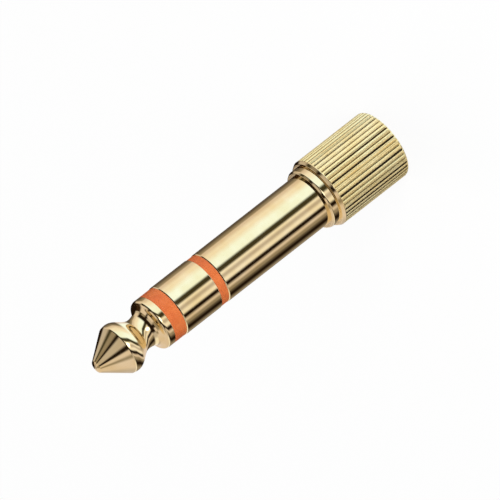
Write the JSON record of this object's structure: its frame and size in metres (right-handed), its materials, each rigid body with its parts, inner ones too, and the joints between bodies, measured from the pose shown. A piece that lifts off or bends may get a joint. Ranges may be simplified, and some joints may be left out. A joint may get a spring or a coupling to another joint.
{
  "type": "audio jack adapter",
  "caption": "Gilded stereo adapter: a 6.35 mm jack plug with orange insulating collars on a straight-knurled grip that holds a 3.5 mm jack socket.",
  "frame": {"origin": "centre of the rear rim of the grip, at the mouth of the 3.5 mm socket", "axes": "+Z along the axis from the socket end to the tip of the plug; +X towards the tip spring, +Y towards the ground spring"},
  "size_m": [0.0084, 0.0084, 0.0428],
  "materials": {
    "gilded_brass": "turned brass with a thin polished gold plating",
    "orange_nylon": "moulded nylon, semi-matt",
    "black_nylon": "moulded nylon, matt",
    "insulating_tube": "pressed fibre, matt",
    "spring_bronze": "rolled phosphor bronze strip"
  },
  "bodies": {
    "adapter": {"grip": "gilded_brass", "sleeve": "gilded_brass", "contact_carrier": "black_nylon", "mouth_bush": "gilded_brass", "tip_pin": "gilded_brass", "tip_insulator": "orange_nylon", "tip_tube": "insulating_tube", "ring_contact": "gilded_brass", "ring_insulator": "orange_nylon", "ring_tube": "insulating_tube", "ring_washer": "insulating_tube", "ring_terminal": "spring_bronze", "tip_washer": "insulating_tube", "tip_terminal": "spring_bronze"},
    "tip_leaf": {"tip_spring": "spring_bronze"},
    "ring_leaf": {"ring_spring": "spring_bronze"},
    "ground_leaf": {"ground_spring": "spring_bronze"}
  },
  "joints": [
    {"name": "tip_spring_flex", "type": "hinge", "parent": "adapter", "child": "tip_leaf", "pos_m": [0.00205, 0, 0.0147], "axis": [0, -1, 0], "range_deg": [0, 8], "stiffness_Nm_per_rad": 0.03},
    {"name": "ring_spring_flex", "type": "hinge", "parent": "adapter", "child": "ring_leaf", "pos_m": [-0.00205, 0, 0.0147], "axis": [0, 1, 0], "range_deg": [0, 3.8], "stiffness_Nm_per_rad": 0.06},
    {"name": "ground_spring_flex", "type": "hinge", "parent": "adapter", "child": "ground_leaf", "pos_m": [0, 0.00235, 0.0037], "axis": [-1, 0, 0], "range_deg": [0, 5], "stiffness_Nm_per_rad": 0.05}
  ]
}
